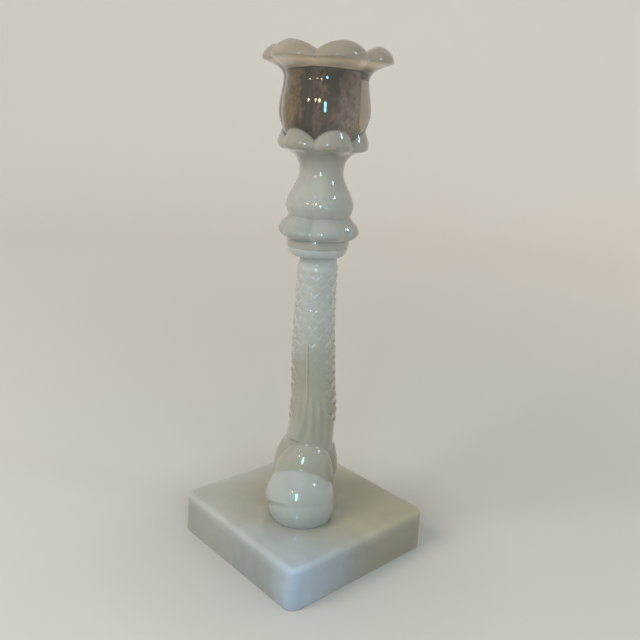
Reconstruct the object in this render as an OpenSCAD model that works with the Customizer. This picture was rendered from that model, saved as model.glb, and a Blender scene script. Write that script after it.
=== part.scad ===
// Pressed-glass dolphin candlestick with a six-petal socket.
// Origin: centre of the base's underside. +Z is up, the base's sides lie along X and Y,
// and the dolphin faces the corner at -X, -Y.

/* [Base] */
// Length of the square base's side at the table
base_side = 97; // [88:1:110]
// Height of the square base
base_height = 22.4; // [18:0.2:28]
// Radius of the base's upright corners
base_corner_r = 6.3; // [4:0.1:9]
// Radius along the base's upper edge
base_edge_r = 2.8; // [1:0.1:4]
// How far each side leans in from bottom to top
base_draft = 0.4; // [0:0.1:1]
// Thickness of the base's side walls
base_wall = 9; // [6:0.5:14]
// Thickness of glass over the hollow underside
base_roof = 7.4; // [5:0.2:12]

/* [Dolphin] */
// Height of the dolphin from the base's top to its tail platform
standard_height = 138.9; // [130:0.1:150]
// Thickness of the round platform on the tail
platform_height = 5.1; // [3:0.1:8]
// Radius of the platform
platform_r = 15.4; // [13:0.1:17]
// Compass direction that the dolphin's face points
face_angle = 225; // [0:5:355]
// Distance from the axis to the front of the snout
snout_reach = 32; // [28:0.5:34]
// Half of the snout's width
snout_half_w = 17.5; // [15:0.5:19]

/* [Wafer] */
// Thickness of the glass wafer that joins socket and dolphin
wafer_height = 4.1; // [2:0.1:6]
// Radius of the wafer
wafer_r = 16; // [14:0.1:18]

/* [Petal socket] */
// Number of petals round the socket
petals = 6; // [4:1:8]
// Distance from the axis to a petal's tip
petal_tip_r = 31.8; // [29:0.1:34]
// Fullness of the petals: smaller is rounder, larger is more pointed
petal_fullness = 0.8; // [0.5:0.05:1.2]
// Turn of the petals against the dolphin's face
petal_turn = 20.4; // [-30:0.1:30]

/* [Candle liner] */
// Radius of the candle hole
candle_r = 11.2; // [10:0.1:12]
// Wall thickness of the metal liner
liner_wall = 0.6; // [0.5:0.1:1.2]
// Depth of the candle hole
candle_depth = 29.6; // [20:0.1:30]
// Thickness of the plaster between liner and glass
bedding_wall = 0.6; // [0.5:0.1:1.5]

/* [Hidden] */

// Heights of the joints above the table
platform_z = base_height + standard_height;
wafer_z = platform_z + platform_height;
socket_z = wafer_z + wafer_height;

// Columns of the socket's outline: petal crest radius and height, crease radius and height.
// Heights are above the socket's foot.
FOOT_AND_CALYX = [
    [16.5, 0.0, 16.1, 0.0],
    [18.5, 0.8, 17.0, 0.7],
    [20.4, 3.7, 18.0, 3.1],
    [19.2, 7.0, 17.2, 6.5],
    [15.5, 11.4, 14.9, 10.9],
    [16.8, 16.7, 16.0, 16.7],
    [15.6, 21.3, 15.0, 21.3],
    [12.6, 26.7, 12.3, 26.7],
    [11.0, 32.5, 10.9, 32.5],
    [13.2, 39.7, 12.9, 39.7],
    [16.5, 42.1, 15.6, 41.9],
    [20.9, 43.4, 18.4, 43.2],
    [22.3, 45.4, 19.5, 44.6],
    [21.6, 48.5, 18.9, 46.3],
    [20.4, 52.3, 18.2, 47.6]
];
BOWL = [
    [20.3, 53.0, 18.3, 48.2],
    [21.6, 56.4, 20.3, 54.2],
    [22.3, 59.8, 21.2, 59.5],
    [22.0, 65.0, 21.0, 65.0],
    [20.8, 72.3, 19.8, 72.3],
    [20.8, 76.9, 19.6, 76.5],
    [23.4, 80.5, 21.5, 80.1],
    [petal_tip_r, 84.2, 26.6, 84.1]
];
throat_r = 15.4;
throat_rise = 82.1;
PETAL_TOPS = [
    [petal_tip_r, 84.2, 26.6, 84.1],
    [petal_tip_r - 0.8, 87.0, 26.0, 85.4],
    [28.6, 89.7, 24.6, 86.6],
    [25.2, 91.2, 22.6, 87.2],
    [21.0, 89.8, 19.6, 86.2],
    [17.3, 86.0, 16.8, 84.4],
    [throat_r, throat_rise, throat_r, throat_rise]
];
petal_steps = 8;

// Cavity in the socket's glass, filled by bedding and liner
throat_z = socket_z + throat_rise;
flange_height = 0.8;
flange_r = candle_r + liner_wall + bedding_wall + 2.6;
mouth_z = throat_z + flange_height;
liner_floor_z = mouth_z - candle_depth;
liner_foot_z = liner_floor_z - liner_wall;
liner_r = candle_r + liner_wall;
seat_r = liner_r + bedding_wall;
seat_floor_z = liner_foot_z - 2;
cavity_floor_z = socket_z + 32.5;
cavity_floor_r = 5;

// The dolphin's body as a round column: height above the base's top, radius
BODY = [
    [0, 14.6], [12, 15.0], [24, 14.8], [34, 13.5], [42, 12.9], [50, 12.5],
    [60, 12.2], [75, 11.7], [95, 11.2], [118, 10.5], [standard_height, 9.9]
];
// How far the body's middle sways to the dolphin's left: height above the base's top, sway
SWAY = [[0, 0], [25, 0.1], [38, 1.1], [52, 2.1], [75, 1.3], [106, 0.3], [standard_height, 0.8]];
// The platform's outline: radius, height above its underside
PLATFORM = [
    [12.4, 0.2], [13.3, 0.7], [14.7, 2.5], [platform_r, 4.4], [platform_r - 0.3, platform_height]
];
// Lumps on the body, facing +X: centre, then half sizes. Heights are above the base's top.
MUZZLE = [[snout_reach - 19, -1.8, 8], [17.5, snout_half_w + 1.3, 20.5]];
LOWER_LIP = [[snout_reach - 18.8, -0.7, 6], [18, snout_half_w + 0.5, 17]];
FOREHEAD = [[9.5, -0.4, 20.5], [10, 15.6, 20]];
CHEEKS = [[-1, -0.2, 14], [15, 16, 24]];
GILL_FLAPS = [[-2, -0.4, 16], [14.5, 18.3, 31]];
// Height of the mouth line in front, and how much lower it runs at the cheeks
mouth_line = 13.4;
mouth_droop = 13.5;
head_height = 46;
body_sides = 48;

// Catmull-Rom value between b and c, at t from 0 to 1
function between(a, b, c, d, t) =
    0.5 * (2 * b + (c - a) * t + (2 * a - 5 * b + 4 * c - d) * t * t
    + (3 * b - a - 3 * c + d) * t * t * t);

// A list of rows, refined into n smooth steps from each row to the next
function smooth(rows, n) = [
    for (i = [0 : len(rows) - 2], k = [0 : n - 1])
        between(rows[max(i - 1, 0)], rows[i], rows[i + 1], rows[min(i + 2, len(rows) - 1)], k / n),
    rows[len(rows) - 1]
];

function without_first(rows) = [for (i = [1 : len(rows) - 1]) rows[i]];

// 1 on a petal's crest, 0 in the crease between two petals
function crest(angle) = pow(abs(cos(petals * angle / 2)), petal_fullness);

function petal_ring(row) = [
    for (i = [0 : petals * petal_steps - 1])
        let (angle = 360 * i / (petals * petal_steps), c = crest(angle),
             r = row[2] + (row[0] - row[2]) * c, z = row[3] + (row[1] - row[3]) * c)
            [r * cos(angle), r * sin(angle), z]
];

// Distance from the axis to the far side of a lump, in one direction at one height
function lump_reach(lump, angle, z) =
    let (c = lump[0], h = lump[1],
         u = [cos(angle) / h[0], sin(angle) / h[1]], v = [c[0] / h[0], c[1] / h[1]],
         w = pow((z - c[2]) / h[2], 2) - 1,
         root = pow(u * v, 2) - (u * u) * (v * v + w))
        root > 0 ? (u * v + sqrt(root)) / (u * u) : 0;

function mouth_height(angle) = mouth_line - mouth_droop * (1 - max(cos(angle), 0));

function body_reach(angle, z) = max(concat(
    [lookup(z, BODY), lump_reach(z < mouth_height(angle) ? LOWER_LIP : MUZZLE, angle, z)],
    [for (lump = [FOREHEAD, CHEEKS, GILL_FLAPS]) lump_reach(lump, angle, z)]
));

function body_ring(z) = [
    for (i = [0 : body_sides - 1])
        let (angle = 360 * i / body_sides, r = body_reach(angle, z))
            [r * cos(angle), r * sin(angle) + lookup(z, SWAY), z]
];

// One closed solid through rings that all have the same number of points
module skin(rings) {
    n = len(rings[0]);
    last = (len(rings) - 1) * n;
    sides = [
        for (j = [0 : len(rings) - 2], i = [0 : n - 1])
            let (a = j * n + i, b = j * n + (i + 1) % n)
                each [[a, a + n, b], [b, a + n, b + n]]
    ];
    polyhedron(
        points = [for (ring = rings) each ring],
        faces = concat([[for (i = [0 : n - 1]) i]], sides, [[for (i = [n - 1 : -1 : 0]) last + i]])
    );
}

// A square block with rounded corners, a rounded upper edge and leaning sides
module rounded_block(side, height, corner_r, edge_r, draft) {
    top_r = corner_r - draft;
    reach = side / 2 - corner_r;
    hull()
        for (x = [-reach, reach], y = [-reach, reach])
            translate([x, y, 0])
                rotate_extrude($fn = 32)
                    polygon(concat(
                        [[0, height], [0, 0], [corner_r, 0]],
                        [for (a = [0 : 15 : 90])
                            [top_r - edge_r + edge_r * cos(a), height - edge_r + edge_r * sin(a)]]
                    ));
}

// A disc with a rounded rim
module soft_disc(r, height, rim_r) {
    rotate_extrude($fn = 72)
        union() {
            square([r - rim_r, height]);
            translate([r - rim_r, rim_r]) circle(rim_r, $fn = 32);
            translate([r - rim_r, height - rim_r]) circle(rim_r, $fn = 32);
            translate([0, rim_r]) square([r, height - 2 * rim_r]);
        }
}

module base_plinth() {
    recess_height = base_height - base_roof;
    color([0.72, 0.75, 0.74])
        difference() {
            rounded_block(base_side, base_height, base_corner_r, base_edge_r, base_draft);
            translate([0, 0, -0.01])
                rounded_block(base_side - 2 * base_wall, recess_height + 0.01, 7, 4, 1.5);
        }
}

// The dolphin's tail spreads into a round platform with a soft rim
function platform_ring(r, z) = [
    for (i = [0 : body_sides - 1])
        let (angle = 360 * i / body_sides)
            [r * cos(angle), r * sin(angle), standard_height + z]
];

module dolphin_standard() {
    heights = concat(
        [for (z = [0 : 2 : head_height]) z],
        [for (z = [head_height + 6 : 8 : standard_height - 6]) z],
        [standard_height]
    );
    color([0.70, 0.72, 0.70])
        translate([0, 0, base_height])
            rotate([0, 0, face_angle])
                skin(concat(
                    [for (z = heights) body_ring(z)],
                    [for (row = PLATFORM) platform_ring(row[0], row[1])]
                ));
}

module wafer() {
    color([0.62, 0.67, 0.66])
        translate([0, 0, wafer_z]) soft_disc(wafer_r, wafer_height, 0.5);
}

// The space inside the glass that the bedding and liner fill
module socket_cavity() {
    rotate_extrude($fn = 72)
        polygon([
            [0, cavity_floor_z], [cavity_floor_r, cavity_floor_z],
            [seat_r, seat_floor_z], [seat_r, throat_z], [0, throat_z]
        ]);
}

module petal_socket() {
    rows = concat(smooth(FOOT_AND_CALYX, 2), smooth(BOWL, 2), without_first(smooth(PETAL_TOPS, 2)));
    color([0.66, 0.65, 0.61])
        difference() {
            translate([0, 0, socket_z])
                rotate([0, 0, face_angle + petal_turn])
                    skin([for (row = rows) petal_ring(row)]);
            socket_cavity();
            translate([0, 0, throat_z - 1]) cylinder(r = seat_r, h = 3, $fn = 72);
        }
}

module liner_bedding() {
    color([0.45, 0.37, 0.30])
        difference() {
            socket_cavity();
            translate([0, 0, liner_foot_z])
                cylinder(r = liner_r, h = candle_depth + 5, $fn = 72);
        }
}

module socket_liner() {
    color([0.30, 0.26, 0.25])
        difference() {
            union() {
                translate([0, 0, liner_foot_z])
                    cylinder(r = liner_r, h = mouth_z - liner_foot_z, $fn = 72);
                translate([0, 0, throat_z]) cylinder(r = flange_r, h = flange_height, $fn = 72);
            }
            translate([0, 0, liner_floor_z])
                cylinder(r = candle_r, h = candle_depth + 5, $fn = 72);
        }
}

base_plinth();
dolphin_standard();
wafer();
petal_socket();
liner_bedding();
socket_liner();
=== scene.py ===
"""A pressed-glass dolphin candlestick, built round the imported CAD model.

Lengths inside the mesh functions are millimetres, as in the CAD source, and to_mesh turns them into metres.
"""
import math

import bpy
import numpy as np
from mathutils import Matrix, Vector


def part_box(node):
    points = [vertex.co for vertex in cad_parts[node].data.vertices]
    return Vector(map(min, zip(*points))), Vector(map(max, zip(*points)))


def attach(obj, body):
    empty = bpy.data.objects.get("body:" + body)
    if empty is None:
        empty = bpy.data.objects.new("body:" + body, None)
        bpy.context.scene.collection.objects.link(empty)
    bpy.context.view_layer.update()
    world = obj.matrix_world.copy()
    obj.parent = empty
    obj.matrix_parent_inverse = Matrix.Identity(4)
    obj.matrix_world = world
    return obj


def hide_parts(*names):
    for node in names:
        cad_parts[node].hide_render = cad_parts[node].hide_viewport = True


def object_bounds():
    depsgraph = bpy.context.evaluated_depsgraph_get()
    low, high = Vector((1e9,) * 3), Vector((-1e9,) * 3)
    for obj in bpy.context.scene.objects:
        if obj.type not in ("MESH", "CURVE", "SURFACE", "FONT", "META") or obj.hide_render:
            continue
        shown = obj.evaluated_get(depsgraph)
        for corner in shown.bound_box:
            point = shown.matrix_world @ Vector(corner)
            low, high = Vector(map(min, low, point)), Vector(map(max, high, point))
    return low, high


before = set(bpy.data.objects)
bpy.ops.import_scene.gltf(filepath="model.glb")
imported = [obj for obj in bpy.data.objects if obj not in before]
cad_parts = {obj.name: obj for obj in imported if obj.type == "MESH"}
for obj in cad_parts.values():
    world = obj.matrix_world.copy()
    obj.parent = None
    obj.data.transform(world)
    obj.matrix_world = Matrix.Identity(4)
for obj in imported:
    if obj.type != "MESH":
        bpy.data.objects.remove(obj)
cad_low, cad_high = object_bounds()

MM = 0.001


# ---------------------------------------------------------------- sizes from the CAD frame

def low_mm(node):
    return np.array(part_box(node)[0]) / MM


def high_mm(node):
    return np.array(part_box(node)[1]) / MM


base_side = high_mm("base_plinth")[0] - low_mm("base_plinth")[0]
base_top_z = high_mm("base_plinth")[2]
platform_top_z = high_mm("dolphin_standard")[2]
socket_foot_z = low_mm("petal_socket")[2]
ledge_z = high_mm("liner_bedding")[2]
cavity_r = high_mm("liner_bedding")[0]
cavity_floor_z = low_mm("liner_bedding")[2]

FACE_ANGLE = math.radians(225)
PETAL_ANGLE = math.radians(245.4)
SIDE_ANGLE = math.radians(-42)  # the way to the glass's side with painted warm wall light and shade, which is also the bedding's purple side
WINDOW_REFLECTION_ANGLE = math.radians(250)  # the way to the base's painted blue window reflection
CONTACT = 0.05  # how far touching glass surfaces sink into what they hold, so that no two faces coincide


# ---------------------------------------------------------------- mesh helpers

def smooth_rows(rows, steps):
    """Catmull-Rom rows through the given rows, with that many steps between neighbours."""
    rows = np.array(rows, float)
    out = []
    for i in range(len(rows) - 1):
        a, b = rows[max(i - 1, 0)], rows[i]
        c, d = rows[i + 1], rows[min(i + 2, len(rows) - 1)]
        for t in np.arange(steps) / steps:
            out.append(0.5 * (2 * b + (c - a) * t + (2 * a - 5 * b + 4 * c - d) * t**2
                              + (3 * b - a - 3 * c + d) * t**3))
    out.append(rows[-1])
    return np.array(out)


def smooth_curve(points, at):
    """Values at the given places on a smooth curve through (place, value) points."""
    fine = smooth_rows(points, 16)
    return np.interp(at, fine[:, 0], fine[:, 1])


def to_mesh(name, rings, sharp_degrees=50, blend=None):
    """One closed skin through rings of points in millimetres, with a point at the middle of each end.

    blend is a number from 0 to 1 for each ring, or for each point, that the material reads.
    """
    rings = np.array(rings, float)
    count, around = rings.shape[:2]
    points = np.concatenate([rings.reshape(-1, 3), rings[0].mean(0)[None], rings[-1].mean(0)[None]])
    first_centre, last_centre = count * around, count * around + 1
    i = np.arange(around)
    after = (i + 1) % around
    faces = []
    for j in range(count - 1):
        a, b = j * around, (j + 1) * around
        faces += np.stack([a + i, a + after, b + after, b + i], 1).tolist()
    faces += np.stack([np.full(around, first_centre), after, i], 1).tolist()
    last = (count - 1) * around
    faces += np.stack([np.full(around, last_centre), last + i, last + after], 1).tolist()
    mesh = bpy.data.meshes.new(name)
    mesh.from_pydata((points * MM).tolist(), [], faces)
    mesh.validate()
    mesh.polygons.foreach_set("use_smooth", [True] * len(mesh.polygons))
    mesh.set_sharp_from_angle(angle=math.radians(sharp_degrees))
    if blend is not None:
        blend = np.array(blend, float)
        if blend.ndim == 1:
            blend = np.repeat(blend[:, None], around, 1)
        layer = mesh.attributes.new("blend", "FLOAT", "POINT")
        layer.data.foreach_set("value", np.concatenate([blend.ravel(), [blend[0, 0], blend[-1, 0]]]))
    piece = bpy.data.objects.new(name, mesh)
    bpy.context.scene.collection.objects.link(piece)
    return piece


def place(piece, node, material):
    """The piece stands for a CAD node, rides on the one body and takes its material."""
    piece.data.materials.clear()
    piece.data.materials.append(material)
    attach(piece, "root")
    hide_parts(node)


def soft_max(parts, softness):
    """The largest of several arrays, with the creases between them rounded."""
    parts = np.array(parts)
    top = parts.max(0)
    return top + softness * np.log(np.exp((parts - top) / softness).sum(0))


def bump_at(x, centre, half_width):
    """A smooth hump: 1 at the centre, 0 past the half width."""
    t = np.clip(1 - ((x - centre) / half_width) ** 2, 0, 1)
    return t * t * (3 - 2 * t)


def fade(x, start, end):
    """0 before start, 1 after end, smooth between."""
    t = np.clip((x - start) / (end - start), 0, 1)
    return t * t * (3 - 2 * t)


# ---------------------------------------------------------------- the petal socket

# Rows of the outline: radius and height on a petal's crest, the same in the crease between petals,
# and how full the petals are there. Heights are above the socket's foot.
FOOT = [
    (16.5, 0.0, 16.1, 0.0, 0.8),
    (18.6, 0.8, 17.0, 0.7, 0.8),
    (20.6, 3.6, 18.4, 3.1, 0.8),
    (19.4, 7.0, 17.3, 6.4, 0.8),
    (16.8, 9.8, 15.6, 9.2, 0.8),
    (15.6, 11.3, 14.9, 10.7, 0.9),
]
KNOP = [
    (15.6, 11.3, 14.9, 10.7, 0.9),
    (16.6, 14.0, 15.8, 13.6, 1.0),
    (17.0, 17.0, 16.2, 16.8, 1.0),
    (15.6, 21.5, 15.0, 21.4, 1.0),
    (12.7, 26.9, 12.4, 26.9, 1.0),
    (11.1, 31.5, 10.9, 31.5, 1.0),
    (11.3, 36.0, 11.1, 36.0, 1.0),
    (13.0, 39.6, 12.7, 39.6, 0.9),
    (16.6, 42.1, 15.6, 41.9, 0.75),
    (20.9, 43.3, 18.4, 43.1, 0.7),
    (22.5, 45.4, 19.6, 44.8, 0.65),
    (22.0, 48.6, 19.2, 46.4, 0.62),
    (20.6, 52.4, 18.3, 47.6, 0.62),
]
BOWL = [
    (20.3, 53.1, 18.2, 48.1, 0.62),
    (21.6, 56.6, 20.4, 54.2, 0.8),
    (22.4, 60.2, 21.4, 59.8, 1.0),
    (22.1, 65.2, 21.2, 65.2, 1.0),
    (20.9, 72.6, 20.0, 72.6, 1.0),
    (20.8, 77.0, 19.7, 76.6, 0.9),
    (23.6, 80.6, 21.6, 80.2, 0.85),
    (31.2, 83.7, 26.4, 83.7, 0.83),
]
PETALS = [
    (31.2, 83.7, 26.4, 83.7, 0.83),
    (31.8, 84.5, 26.8, 84.2, 0.83),
    (31.0, 87.0, 26.0, 85.4, 0.83),
    (28.6, 89.7, 24.6, 86.6, 0.83),
    (25.2, 91.2, 22.6, 87.2, 0.83),
    (21.0, 89.8, 19.6, 86.2, 0.85),
    (17.4, 86.0, 16.9, 84.4, 0.9),
    (15.6, 83.0, 15.5, 82.9, 1.0),
]
PETAL_COUNT = 6
PETAL_SIDES = 32
CREASE = 0.07  # how rounded the creases between petals are


def crest_share(angle, fullness):
    """1 on a petal's crest, 0 in the crease, for a given fullness."""
    wave = np.cos(PETAL_COUNT * angle / 2) ** 2
    low = CREASE**fullness
    high = (1 + CREASE**2) ** (fullness / 2)
    return ((wave + CREASE**2) ** (fullness / 2) - low) / (high - low)


def petal_rings(rows, steps):
    angle = np.arange(PETAL_COUNT * PETAL_SIDES) * 2 * math.pi / (PETAL_COUNT * PETAL_SIDES)
    rings = []
    for crest_r, crest_z, crease_r, crease_z, fullness in smooth_rows(rows, steps):
        share = crest_share(angle, fullness)
        r = crease_r + (crest_r - crease_r) * share
        z = socket_foot_z + crease_z + (crest_z - crease_z) * share
        turned = angle + PETAL_ANGLE
        rings.append(np.stack([r * np.cos(turned), r * np.sin(turned), z], 1))
    return rings


def round_ring(r, z, around, turn=0.0):
    angle = np.arange(around) * 2 * math.pi / around + turn
    return np.stack([r * np.cos(angle), r * np.sin(angle), np.full(around, z)], 1)


def make_socket():
    foot, knop = petal_rings(FOOT, 7)[:-1], petal_rings(KNOP, 6)[:-1]
    bowl, petals = petal_rings(BOWL, 7)[:-1], petal_rings(PETALS, 7)
    rings = foot + knop + bowl + petals
    around = PETAL_COUNT * PETAL_SIDES
    mouth_r, bottom_r = 15.3, 5 - CONTACT
    ledge, seat_r = ledge_z + CONTACT, cavity_r - CONTACT
    seat_floor_z, bottom = low_mm("socket_liner")[2] - 2, cavity_floor_z + CONTACT
    cavity = [round_ring(r, z, around, PETAL_ANGLE) for r, z in [
        (mouth_r, ledge), (14.0, ledge), (seat_r, ledge), (seat_r, (ledge + seat_floor_z) / 2),
        (seat_r, seat_floor_z), (bottom_r, bottom), (bottom_r / 2, bottom)]]
    bowl_top = len(bowl) - 3  # the ring where the bowl is as milky as the petals
    milk = [1.0] * (len(foot) + len(knop))
    milk += list(0.95 * fade(np.arange(len(bowl)), bowl_top - 5, bowl_top))
    milk += [0.9] * len(petals) + [0.4] * len(cavity)
    return to_mesh("petal_socket_glass", rings + cavity, 42, milk)


# ---------------------------------------------------------------- the dolphin

# The body as a round column: height above the base's top, radius
BODY = [(0, 14.4), (12, 14.8), (24, 14.6), (34, 13.3), (42, 12.7), (48, 12.4), (56, 12.2), (64, 11.7),
        (76, 11.4), (90, 11.2), (97, 10.8), (106, 10.6), (116, 10.2), (124, 10.0), (130, 10.2),
        (134, 9.8), (136, 9.6)]
# How far the body's middle sways to one side at each height
SWAY = [(0, 0), (25, 0.1), (38, 1.1), (50, 2.0), (61, 2.1), (75, 1.3), (90, 0.7), (106, 0.3), (125, 0.5),
        (136, 0.8)]
# Lumps of the head, with the face towards +X: centre, half sizes
MUZZLE = ((13.0, -1.8, 8.0), (17.5, 18.8, 20.5))
LOWER_LIP = ((13.2, -0.7, 6.0), (18.0, 18.0, 17.0))
FOREHEAD = ((9.5, -0.4, 20.5), (10.0, 15.6, 20.0))
CHEEKS = ((-1.0, -0.2, 14.0), (15.0, 16.0, 24.0))
GILL_FLAPS = ((-2.0, -0.4, 16.0), (14.5, 18.3, 31.0))
FLAP_END_Z = 18.5
MOUTH_Z, MOUTH_DROOP = 13.4, 13.5
SCALES_AROUND, SCALE_ROW, SCALE_DEPTH = 10, 4.3, 1.5
FLUTE_Z = 54  # middle of the flutes above the head
SEAM_ANGLE, LOBE_ANGLE = math.radians(-13), math.radians(-44)


def lump_reach(lump, angle, z):
    """Distance from the axis to the far side of an ellipsoid, from its quadratic, 0 where it's missed."""
    (cx, cy, cz), (hx, hy, hz) = lump
    ux, uy = np.cos(angle) / hx, np.sin(angle) / hy
    vx, vy = cx / hx, cy / hy
    half_b, a = ux * vx + uy * vy, ux**2 + uy**2
    root = half_b**2 - a * (vx**2 + vy**2 + ((z - cz) / hz) ** 2 - 1)
    return np.where(root > 0, (half_b + np.sqrt(np.maximum(root, 0))) / a, 0)


def scale_relief(angle, z):
    """Overlapping rounded scales in staggered rows: near 1 at a scale's upper, free edge, 0 at its foot."""
    along, up = angle / (2 * math.pi) * SCALES_AROUND, z / SCALE_ROW
    relief = np.zeros(np.broadcast(angle, z).shape)
    for above in (1, 0, -1):  # each row lies over the foot of the row above it
        row = np.floor(up) + above
        stagger = (row % 2) * 0.5
        off_centre = along - stagger - np.round(along - stagger)
        edge = row + 0.25 + np.sqrt(1 - (off_centre / 0.58) ** 2)
        cover = np.clip((edge - up) / 0.10, 0, 1)
        relief = relief * (1 - cover) + (1 - (edge - up) / 2) * cover
    return relief


def dolphin_reach(angle, z):
    """The skin at an angle from the dolphin's face and a height above the base: reach, and the share of
    painted light, cool on the muzzle as if lit from the front and fainter on the lobe.
    """
    body = smooth_curve(BODY, z)
    mouth = MOUTH_Z - MOUTH_DROOP * (1 - np.clip(np.cos(angle), 0, 1))
    over = fade(z, mouth - 2.6, mouth + 1.0)
    muzzle = lump_reach(MUZZLE, angle, z)
    head = lump_reach(LOWER_LIP, angle, z) * (1 - over) + muzzle * over
    flaps = lump_reach(GILL_FLAPS, angle, z) * fade(z, FLAP_END_Z - 0.6, FLAP_END_Z + 0.6)
    skull = np.maximum(lump_reach(FOREHEAD, angle, z), lump_reach(CHEEKS, angle, z))
    on_muzzle = fade(head - np.maximum(np.maximum(body, flaps), skull), -0.5, 0.5)
    reach = soft_max([body, head, flaps, skull], 0.15)
    front = fade(np.cos(angle), 0.62, 0.88)
    scaly = fade(z, 46, 54) * (1 - fade(z, 128, 132)) * (1 - front * (0.85 - 0.15 * fade(z, 84, 100)))
    reach = reach + scaly * SCALE_DEPTH * (scale_relief(angle, z) - 0.6)
    flutes = bump_at(z, FLUTE_Z, 14) * front
    reach = reach + flutes * 0.28 * np.cos(18 * angle * (1 + 0.012 * (z - FLUTE_Z)))
    seam = fade(z, 60, 70) * (1 - fade(z, 90, 98)) * bump_at(angle, SEAM_ANGLE, math.radians(4))
    lobe = fade(z, 40.4, 41.6) * (1 - fade(z, 45, 57)) * bump_at(angle, LOBE_ANGLE, math.radians(26))
    collar = bump_at(z, 133.0, 2.2)
    reach = reach + seam * 0.7 + lobe * 1.7 + collar * 0.5
    # The second value is painted light: the muzzle as if lit from the front, and a little of it on the lobe
    return reach, np.maximum(on_muzzle, 0.35 * lobe)


# The round platform on the tail, from its underside: radius, height
PLATFORM = [(11.0, 0.1), (12.4, 0.25), (13.3, 0.7), (14.1, 1.5), (14.7, 2.5), (15.2, 3.7), (15.4, 4.5),
            (15.35, 4.85), (15.1, 5.05), (14.6, 5.1)]


def make_dolphin():
    around, column_top = 288, platform_top_z - base_top_z - PLATFORM[-1][1]
    angle = (np.arange(around) + 0.5) * 2 * math.pi / around - math.pi
    head_top, head_step, body_step = 44, 0.5, 0.42
    heights = np.concatenate([[-CONTACT], np.arange(0.4, head_top, head_step),
                              np.arange(head_top, column_top - 0.2, body_step), [column_top]])
    rings, pale = [], []
    for z in heights:
        # The second value is painted light on the muzzle and the lobe
        r, painted_light_share = dolphin_reach(angle, np.full(around, z))
        pale.append(painted_light_share)
        x, y = r * np.cos(angle), r * np.sin(angle) + smooth_curve(SWAY, z)
        rings.append(np.stack([x, y, np.full(around, z)], 1))
    for r, z in smooth_rows(PLATFORM, 3):
        rings.append(round_ring(r, column_top + min(z, PLATFORM[-1][1]), around, angle[0]))
        pale.append(np.zeros(around))
    rings = np.array(rings)
    cos, sin = math.cos(FACE_ANGLE), math.sin(FACE_ANGLE)
    rings[..., :2] = rings[..., :2] @ np.array([[cos, sin], [-sin, cos]])
    rings[..., 2] += base_top_z
    return to_mesh("dolphin_glass", rings, 60, pale)


# ---------------------------------------------------------------- the base and the wafer

def rounded_square(half, corner_r, z, corner_steps=14, side_steps=10):
    """One ring round a square with rounded corners."""
    points = []
    for quarter in range(4):
        cos, sin = math.cos(quarter * math.pi / 2), math.sin(quarter * math.pi / 2)
        arc = [(half - corner_r + corner_r * math.cos(a), half - corner_r + corner_r * math.sin(a))
               for a in np.linspace(0, math.pi / 2, corner_steps + 1)]
        shares = np.arange(1, side_steps) / side_steps
        side = [((half - corner_r) * (1 - 2 * share), half) for share in shares]
        for x, y in arc + side:
            points.append((x * cos - y * sin, x * sin + y * cos, z))
    return np.array(points)


def make_base():
    """The base: from the middle of its hollow's roof, round the foot, to the middle of its top."""
    half, corner_r, edge_r, draft, wall, roof = base_side / 2, 6.3, 2.8, 0.4, 9.0, 7.4
    recess_half, recess_top, recess_corner_r = half - wall, base_top_z - roof, 7
    recess_draft, recess_edge_r = 1.5, 4.0
    rings = []
    for inset in (30, 20, 12, 6):
        rings.append(rounded_square(recess_half - inset, max(recess_corner_r - inset * 0.1, 3), recess_top))
    for a in np.radians(np.arange(90, -1, -15)):
        inset = recess_draft + recess_edge_r * (1 - math.cos(a))
        z = recess_top - recess_edge_r * (1 - math.sin(a))
        rings.append(rounded_square(recess_half - inset, max(recess_corner_r - inset, 1.5), z))
    rings.append(rounded_square(recess_half, recess_corner_r, 0.4))
    rings.append(rounded_square(recess_half + 0.5, recess_corner_r + 0.4, 0.0))
    for inset, z in ((0.6, 0.0), (0.12, 0.18), (0.0, 0.7)):  # the foot's outer edge
        rings.append(rounded_square(half - inset, corner_r - inset, z))
    for z in (5, 10, 15):
        inset = draft * z / base_top_z
        rings.append(rounded_square(half - inset, corner_r - inset, z))
    for a in np.radians(np.arange(0, 91, 9)):
        inset = draft + edge_r * (1 - math.cos(a))
        z = base_top_z - edge_r * (1 - math.sin(a))
        rings.append(rounded_square(half - inset, corner_r - inset, z))
    for inset in (6, 10, 15, 20, 26, 32, 38, 43):
        rings.append(rounded_square(half - inset, max(corner_r - 3 - inset * 0.05, 1.0), base_top_z))
    return to_mesh("base_glass", rings, 60)


def make_wafer():
    low, high = low_mm("wafer"), high_mm("wafer")
    around, rim, taper, inner_r = 192, 0.25, 0.3, 4
    radius = high[0] - rim
    bottom, top = low[2] - CONTACT, high[2] + CONTACT
    rings = [round_ring(inner_r, bottom, around), round_ring(radius - 2, bottom, around)]
    for a in np.radians(np.arange(-90, 91, 15)):
        z = (top - rim if a > 0 else bottom + rim) + rim * math.sin(a)
        lean = taper * (top - z) / (top - bottom)
        rings.append(round_ring(radius - lean + rim * math.cos(a), z, around))
    rings.append(round_ring(inner_r, top, around))
    return to_mesh("wafer_glass", rings, 60)


# ---------------------------------------------------------------- materials

WHITE, BLACK = (1, 1, 1), (0, 0, 0)
CLOUD_SCALE, HAZE_SCALE, RIPPLE_SCALE = 38, 90, 170  # of the noise in the glass, per metre
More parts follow.
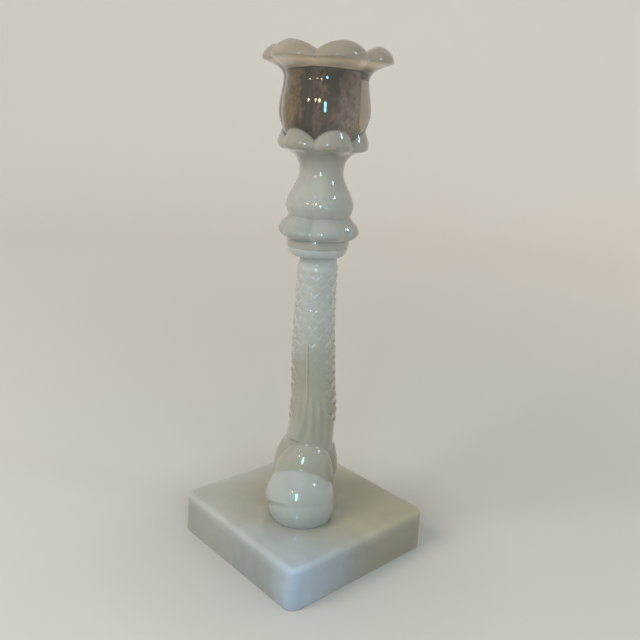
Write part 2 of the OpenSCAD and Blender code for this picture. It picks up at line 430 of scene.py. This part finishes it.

# Colour stops. The socket's and the standard's run up the piece, from 0 at its lower end to 1 at its top.
# The lip's tone is painted light: the pale band just under the petals' flare, as if lit through the glass
BOWL_TONE, LIP_PAINTED_LIGHT = (0.50, 0.42, 0.33), (0.88, 0.75, 0.57)
SOCKET_TONES = [
    (0.0, (0.40, 0.41, 0.385)), (0.25, (0.45, 0.45, 0.41)), (0.38, (0.46, 0.435, 0.375)),
    (0.47, (0.40, 0.37, 0.32)), (0.56, (0.375, 0.35, 0.305)), (0.60, BOWL_TONE), (0.85, BOWL_TONE),
    (0.88, LIP_PAINTED_LIGHT), (0.905, LIP_PAINTED_LIGHT), (0.92, (0.385, 0.33, 0.26)),
]
SOCKET_CLEARNESS = [(0, 0.93), (0.6, 0.55), (0.9, 0.35), (1.0, 0.28)]  # by how milky the ring is
STANDARD_TONES = [
    (0.0, (0.38, 0.375, 0.31)), (0.24, (0.38, 0.37, 0.31)), (0.31, (0.38, 0.37, 0.29)),
    (0.52, (0.37, 0.36, 0.28)), (0.74, (0.46, 0.465, 0.44)), (1.0, (0.48, 0.49, 0.47)),
]
# Painted cool light on the muzzle, and a little of it on the lobe
MUZZLE_PAINTED_LIGHT = (0.44, 0.46, 0.44)
# The base's tones run from the middle of its top to its sides and are painted light: olive in the middle, as
# a dark table would show through the thin roof, paler to the edges, as if lit through the thick walls. The
# painted shade runs from its foot to its top, darkest at the foot
BASE_PAINTED_TOP_TONES = [(0.0, (0.40, 0.395, 0.32)), (0.7, (0.43, 0.43, 0.37)), (1.0, (0.455, 0.465, 0.435))]
BASE_TONES_FROM, BASE_TONES_TO = 24, 46
BASE_SIDE_SHADE = [(0.0, (0.69, 0.68, 0.65)), (0.70, (0.74, 0.73, 0.71)), (0.95, WHITE)]
# Painted light: a cool tint on the base's side towards the front, as if a cool window lit it, and a painted
# reflection of that window at one corner
BASE_PAINTED_FRONT_LIGHT, BASE_PAINTED_WINDOW_REFLECTION = (0.42, 0.46, 0.475), (0.40, 0.48, 0.57)
BASE_REACH = 66  # half of the base's diagonal
# Painted warm wall light and shade across the glass, growing from the bedding's brown side to its purple
# side
FLANK_PAINTED_WARM_LIGHT = [(0.74, WHITE), (0.92, (0.76, 0.68, 0.49))]
BASE_PAINTED_WARM_LIGHT = [(0.52, WHITE), (0.70, (0.89, 0.84, 0.71)), (0.95, (0.81, 0.74, 0.58))]
# The bedding's stains run the same way. Their pale stops at both ends are painted light, where the milky
# glass glows in front of the bedding's edges
STAIN_ABOVE = [
    (0.02, (0.80, 0.62, 0.34)), (0.08, (0.40, 0.26, 0.12)), (0.13, (0.07, 0.035, 0.01)),
    (0.26, (0.10, 0.06, 0.035)), (0.40, (0.46, 0.33, 0.29)), (0.49, (0.05, 0.025, 0.025)),
    (0.70, (0.012, 0.006, 0.008)), (0.82, (0.50, 0.40, 0.41)), (0.93, (0.86, 0.76, 0.75)),
]
STAIN_BELOW = [
    (0.02, (0.80, 0.62, 0.34)), (0.08, (0.36, 0.23, 0.10)), (0.13, (0.05, 0.02, 0.008)),
    (0.29, (0.08, 0.045, 0.03)), (0.40, (0.58, 0.45, 0.42)), (0.53, (0.24, 0.16, 0.17)),
    (0.66, (0.50, 0.40, 0.42)), (0.80, (0.90, 0.79, 0.81)), (0.96, (0.94, 0.84, 0.84)),
]


def new_material(name):
    material = bpy.data.materials.new(name)
    material.use_nodes = True
    tree = material.node_tree
    return material, tree, tree.nodes["Principled BSDF"]


def node(tree, kind, **settings):
    made = tree.nodes.new(kind)
    for name, value in settings.items():
        setattr(made, name, value)
    return made


def feed(tree, sockets, values):
    """Links or sets each socket, as its value is another socket, a colour or a number."""
    for socket, value in zip(sockets, values):
        if isinstance(value, bpy.types.NodeSocket):
            tree.links.new(value, socket)
        elif isinstance(value, tuple):
            socket.default_value = (*value, 1.0)
        else:
            socket.default_value = value


def calc(tree, operation, *values):
    made = node(tree, "ShaderNodeMath", operation=operation)
    feed(tree, made.inputs, values)
    return made.outputs[0]


def mix(tree, share, first, second, blend="MIX"):
    made = node(tree, "ShaderNodeMix", data_type="RGBA", blend_type=blend)
    feed(tree, (made.inputs[0], made.inputs[6], made.inputs[7]), (share, first, second))
    return made.outputs[2]


def remapped(tree, value, low, high):
    """0 where the value is low, 1 where it is high."""
    made = node(tree, "ShaderNodeMapRange")
    made.inputs["From Min"].default_value = low
    made.inputs["From Max"].default_value = high
    tree.links.new(value, made.inputs["Value"])
    return made.outputs["Result"]


def position(tree):
    return node(tree, "ShaderNodeTexCoord").outputs["Object"]


def axis_position(tree, axis):
    """How far along one axis a point lies, in metres."""
    split = node(tree, "ShaderNodeSeparateXYZ")
    tree.links.new(position(tree), split.inputs["Vector"])
    return split.outputs[axis]


def stretched(tree, scale):
    """The position, scaled along the axes."""
    mapping = node(tree, "ShaderNodeMapping")
    mapping.inputs["Scale"].default_value = scale
    tree.links.new(position(tree), mapping.inputs["Vector"])
    return mapping.outputs["Vector"]


def noise(tree, coords, scale, detail=3.0, roughness=0.5, distortion=0.0):
    made = node(tree, "ShaderNodeTexNoise")
    made.inputs["Scale"].default_value = scale
    made.inputs["Detail"].default_value = detail
    made.inputs["Roughness"].default_value = roughness
    made.inputs["Distortion"].default_value = distortion
    tree.links.new(coords, made.inputs["Vector"])
    return made.outputs["Fac"]


def ramp(tree, value, stops):
    """A colour ramp through (place, colour) stops."""
    made = node(tree, "ShaderNodeValToRGB")
    elements = made.color_ramp.elements
    while len(elements) < len(stops):
        elements.new(0.5)
    for element, (position, colour) in zip(elements, stops):
        element.position = position
        element.color = (*colour, 1.0)
    tree.links.new(value, made.inputs["Fac"])
    return made.outputs["Color"]


def height_share(tree, low_z, high_z):
    """0 at one height of the object, 1 at another."""
    return remapped(tree, axis_position(tree, "Z"), low_z * MM, high_z * MM)


def across(tree, angle, half_width):
    """0 at one side of the axis, 1 at the other, along a level direction."""
    along = node(tree, "ShaderNodeVectorMath", operation="DOT_PRODUCT")
    along.inputs[1].default_value = (math.cos(angle), math.sin(angle), 0)
    tree.links.new(position(tree), along.inputs[0])
    return remapped(tree, along.outputs["Value"], -half_width * MM, half_width * MM)


def from_middle(tree, inner, outer):
    """0 up to one distance from the middle of the square base, 1 from another on."""
    spans = [calc(tree, "ABSOLUTE", axis_position(tree, axis)) for axis in "XY"]
    return remapped(tree, calc(tree, "MAXIMUM", *spans), inner * MM, outer * MM)


def mesh_blend(tree):
    """The number from 0 to 1 that the mesh gives each point."""
    return node(tree, "ShaderNodeAttribute", attribute_name="blend").outputs["Fac"]


def milky_glass(name, colour_of, clear, scatter=0.006, roughness=0.16, coat_roughness=0.03):
    """Milky pressed glass. clear is the share of light that isn't scattered: a number, or a maker of one."""
    material, tree, shader = new_material(name)
    clouds = noise(tree, position(tree), CLOUD_SCALE, 4, 0.55, 0.8)
    cloudy = ramp(tree, clouds, [(0.30, (0.86, 0.85, 0.83)), (0.70, WHITE)])
    tree.links.new(mix(tree, 1.0, colour_of(tree), cloudy, "MULTIPLY"), shader.inputs["Base Color"])
    if callable(clear):
        tree.links.new(clear(tree), shader.inputs["Transmission Weight"])
    else:
        shader.inputs["Transmission Weight"].default_value = clear
    haze = noise(tree, position(tree), HAZE_SCALE, 3)
    rough = node(tree, "ShaderNodeMapRange")
    rough.inputs["To Min"].default_value = roughness * 0.7
    rough.inputs["To Max"].default_value = roughness * 1.3
    tree.links.new(haze, rough.inputs["Value"])
    tree.links.new(rough.outputs["Result"], shader.inputs["Roughness"])
    ripple = noise(tree, stretched(tree, (1, 1, 0.7)), RIPPLE_SCALE, 2, 0.4)
    bump = node(tree, "ShaderNodeBump")
    bump.inputs["Strength"].default_value = 0.4
    bump.inputs["Distance"].default_value = 0.25 * MM
    tree.links.new(ripple, bump.inputs["Height"])
    tree.links.new(bump.outputs["Normal"], shader.inputs["Normal"])
    tree.links.new(bump.outputs["Normal"], shader.inputs["Coat Normal"])
    shader.inputs["IOR"].default_value = 1.5
    shader.inputs["Subsurface Weight"].default_value = 1.0
    shader.inputs["Subsurface Radius"].default_value = (1.0, 0.85, 0.65)
    shader.inputs["Subsurface Scale"].default_value = scatter
    shader.inputs["Coat Weight"].default_value = 1.0
    shader.inputs["Coat Roughness"].default_value = coat_roughness
    return material


def socket_clearness(tree):
    """Clearest round the bowl, milkiest at the foot, the knop and the petals."""
    return ramp(tree, mesh_blend(tree), [(at, (value,) * 3) for at, value in SOCKET_CLEARNESS])


def socket_colour(tree):
    return ramp(tree, height_share(tree, socket_foot_z, cad_high[2] / MM), SOCKET_TONES)


def standard_colour(tree):
    """The skin's colour by height, with painted warm wall light and shade on one side, and painted cool
    light on the muzzle.
    """
    skin = ramp(tree, height_share(tree, base_top_z, platform_top_z), STANDARD_TONES)
    # Painted warm wall light and shade on one side of the dolphin
    painted_wall_light = ramp(tree, across(tree, SIDE_ANGLE, 20), FLANK_PAINTED_WARM_LIGHT)
    return mix(tree, mesh_blend(tree), mix(tree, 1.0, skin, painted_wall_light, "MULTIPLY"), MUZZLE_PAINTED_LIGHT)


def wafer_colour(tree):
    return 0.40, 0.38, 0.33


def base_colour(tree):
    """Painted light and shade: olive in the middle, as a dark table would show through the roof, greyer and
    paler to the sides, painted shade down them, painted cool light in front, a painted blue window
    reflection at one corner, and painted warm wall light and shade on one side.
    """
    # Painted light: olive in the middle of the top, as a dark table would show through the thin roof, paler
    # to the edges, as if lit through the thick walls
    tones = ramp(tree, from_middle(tree, BASE_TONES_FROM, BASE_TONES_TO), BASE_PAINTED_TOP_TONES)
    # Painted cool light on the front of the base
    front = ramp(tree, across(tree, FACE_ANGLE, BASE_REACH), [(0.67, BLACK), (0.84, WHITE)])
    # Painted shade, darker down the base's sides towards its foot
    shade = ramp(tree, height_share(tree, 0, base_top_z), BASE_SIDE_SHADE)
    # Painted warm wall light and shade on one side of the base
    painted_side_light = ramp(tree, across(tree, SIDE_ANGLE, BASE_REACH), BASE_PAINTED_WARM_LIGHT)
    # Painted reflection of a cool window, bluest at one corner of the base
    blue = ramp(tree, across(tree, WINDOW_REFLECTION_ANGLE, BASE_REACH), [(0.84, BLACK), (0.945, WHITE)])
    colour = mix(tree, 1.0, mix(tree, front, tones, BASE_PAINTED_FRONT_LIGHT), shade, "MULTIPLY")
    return mix(tree, blue, mix(tree, 1.0, colour, painted_side_light, "MULTIPLY"), BASE_PAINTED_WINDOW_REFLECTION)


def tarnished_metal():
    """Dark oxidised pewter, blotched and streaked."""
    material, tree, shader = new_material("tarnished_metal")
    blotch = noise(tree, stretched(tree, (1, 1, 0.5)), 110, 5, 0.6, 0.6)
    colour = ramp(tree, blotch, [(0.34, (0.020, 0.014, 0.012)), (0.52, (0.055, 0.040, 0.036)),
                                 (0.68, (0.13, 0.105, 0.10))])
    tree.links.new(colour, shader.inputs["Base Color"])
    rough = ramp(tree, blotch, [(0.3, (0.75, 0.75, 0.75)), (0.7, (0.45, 0.45, 0.45))])
    tree.links.new(rough, shader.inputs["Roughness"])
    shader.inputs["Metallic"].default_value = 0.6
    return material


def stained_bedding():
    """Old cement, stained dark brown on one side and purple-grey on the other, in blotches and runs."""
    material, tree, shader = new_material("stained_bedding")
    warp_amount, run_amount = 0.6, 0.5
    warp = noise(tree, stretched(tree, (1, 1, 0.5)), 190, 3, 0.6, 0.6)
    centred = calc(tree, "SUBTRACT", across(tree, SIDE_ANGLE, cavity_r), warp_amount / 2)
    share = calc(tree, "MULTIPLY_ADD", warp, warp_amount, centred)
    runs = noise(tree, stretched(tree, (1, 1, 0.25)), 120, 3, 0.6, 1.0)
    height = calc(tree, "MULTIPLY_ADD", runs, run_amount, height_share(tree, cavity_floor_z, ledge_z))
    above = ramp(tree, height, [(0.80, BLACK), (1.0, WHITE)])
    foot = ramp(tree, height, [(0.44, (0.9, 0.9, 0.9)), (0.56, BLACK)])
    # The pale ends of both stain ramps are painted light, not stain
    lower, upper = ramp(tree, share, STAIN_BELOW), ramp(tree, share, STAIN_ABOVE)
    stain = mix(tree, foot, mix(tree, above, lower, upper), (0.62, 0.46, 0.34))
    speck = noise(tree, position(tree), 520, 3, 0.6)
    grain = ramp(tree, speck, [(0.35, (0.55, 0.55, 0.55)), (0.65, (1.25, 1.25, 1.25))])
    tree.links.new(mix(tree, 1.0, stain, grain, "MULTIPLY"), shader.inputs["Base Color"])
    shader.inputs["Roughness"].default_value = 0.7
    return material


def give(node_name, material):
    """A CAD node that stays visible gets its material."""
    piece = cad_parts[node_name]
    piece.data.materials.clear()
    piece.data.materials.append(material)


# ---------------------------------------------------------------- floor, lights, camera

def make_floor():
    """A pale floor whose far rim curves up all round, so that no horizon shows."""
    flat_r, curve_r, wall_top, around = 1.1, 0.9, 1.5, 96  # metres, but for the last
    profile = [(0.3, 0), (0.7, 0)]
    profile += [(flat_r + curve_r * math.sin(a), curve_r - curve_r * math.cos(a))
                for a in np.linspace(0, math.pi / 2, 17)]
    profile.append((flat_r + curve_r, wall_top))
    rings = np.array([round_ring(r, z, around) for r, z in profile])
    points = [(0, 0, 0)] + rings.reshape(-1, 3).tolist()
    faces = [(0, 1 + i, 1 + (i + 1) % around) for i in range(around)]
    for j in range(len(profile) - 1):
        for i in range(around):
            a, b = 1 + j * around + i, 1 + j * around + (i + 1) % around
            faces.append((a, a + around, b + around, b))
    mesh = bpy.data.meshes.new("floor")
    mesh.from_pydata(points, [], faces)
    mesh.polygons.foreach_set("use_smooth", [True] * len(mesh.polygons))
    floor = bpy.data.objects.new("floor", mesh)
    bpy.context.scene.collection.objects.link(floor)
    material, tree, shader = new_material("pale_floor")
    reach = node(tree, "ShaderNodeVectorMath", operation="LENGTH")
    tree.links.new(position(tree), reach.inputs[0])
    share = remapped(tree, reach.outputs["Value"], 0, flat_r + curve_r)
    shade = ramp(tree, share, [(0.06, (0.47, 0.46, 0.44)), (0.42, (0.80, 0.785, 0.755)),
                               (1.0, (0.97, 0.955, 0.93))])
    shade.node.color_ramp.interpolation = "B_SPLINE"
    tree.links.new(shade, shader.inputs["Base Color"])
    shader.inputs["Roughness"].default_value = 0.6
    mesh.materials.append(material)
    floor.visible_glossy = False


def outward(azimuth, elevation):
    """The direction at an azimuth, 0 at -Y and growing towards +X, and an elevation, both in degrees."""
    a, e = math.radians(azimuth), math.radians(elevation)
    return Vector((math.sin(a) * math.cos(e), -math.cos(a) * math.cos(e), math.sin(e)))


def area_light(name, azimuth, elevation, distance, size, power, colour, mirrored=True, target=(0, 0, 0.14)):
    """A rectangular light that faces the target. Gloss and clear glass show it if it is mirrored."""
    out = outward(azimuth, elevation)
    data = bpy.data.lights.new(name, "AREA")
    data.shape = "RECTANGLE"
    data.size, data.size_y = size
    data.energy = power
    data.color = colour
    lamp = bpy.data.objects.new(name, data)
    lamp.visible_glossy = mirrored
    lamp.visible_transmission = mirrored
    bpy.context.scene.collection.objects.link(lamp)
    lamp.location = Vector(target) + out * distance
    lamp.rotation_mode = "QUATERNION"
    lamp.rotation_quaternion = (-out).to_track_quat("-Z", "Y")


def make_lights():
    world = bpy.data.worlds.new("studio")
    world.use_nodes = True
    background = world.node_tree.nodes["Background"]
    background.inputs["Color"].default_value = (0.85, 0.80, 0.735, 1.0)
    background.inputs["Strength"].default_value = 0.63
    bpy.context.scene.world = world
    bpy.context.scene.view_settings.view_transform = "Standard"
    area_light("key", -100, 38, 1.0, (0.5, 0.5), 6.8, (1.0, 0.95, 0.87), mirrored=False)
    area_light("fill", -22, 24, 0.9, (0.4, 0.4), 2.6, (0.66, 0.84, 1.0), mirrored=False)
    area_light("wall", 70, 20, 1.6, (0.8, 0.8), 2.4, (1.0, 0.80, 0.48), mirrored=False)
    area_light("window", -53, 9, 0.9, (0.10, 0.28), 1.6, (0.30, 0.78, 1.0), target=(0, 0, 0.18))
    area_light("lamp_right", 26, 36, 0.9, (0.08, 0.09), 0.6, (0.50, 0.85, 1.0))
    area_light("lamp_warm", -71, 22, 0.8, (0.05, 0.05), 0.20, (1.0, 0.85, 0.50))


def make_camera():
    """The view from a table's edge: close, a little above the socket's rim, leaning by a few degrees."""
    distance, azimuth, elevation = 0.41739, -42.1, 32.40
    turn, pitch, roll = -0.54, 15.28, 3.18
    data = bpy.data.cameras.new("camera")
    data.sensor_width = 36.0
    data.lens = 39.375
    data.clip_start = 0.01
    camera = bpy.data.objects.new("camera", data)
    bpy.context.scene.collection.objects.link(camera)
    look = -outward(azimuth + turn, pitch)
    heading, lean = math.radians(azimuth + turn), math.radians(roll)
    side = Vector((math.cos(heading), math.sin(heading), 0))
    up = side.cross(look)
    right = side * math.cos(lean) + up * math.sin(lean)
    top = up * math.cos(lean) - side * math.sin(lean)
    axes = Matrix((right, top, -look)).transposed().to_4x4()
    camera.matrix_world = Matrix.Translation(outward(azimuth, elevation) * distance) @ axes
    bpy.context.scene.camera = camera


# ---------------------------------------------------------------- the whole scene

def main():
    make_camera()
    make_lights()
    make_floor()
    place(make_socket(), "petal_socket",
          milky_glass("socket_glass", socket_colour, clear=socket_clearness, scatter=0.004, roughness=0.07))
    place(make_dolphin(), "dolphin_standard",
          milky_glass("standard_glass", standard_colour, clear=0.2, scatter=0.0025))
    place(make_wafer(), "wafer",
          milky_glass("wafer_glass", wafer_colour, clear=0.2))
    place(make_base(), "base_plinth",
          milky_glass("base_glass", base_colour, clear=0.15, coat_roughness=0.12))
    give("liner_bedding", stained_bedding())
    give("socket_liner", tarnished_metal())


main()
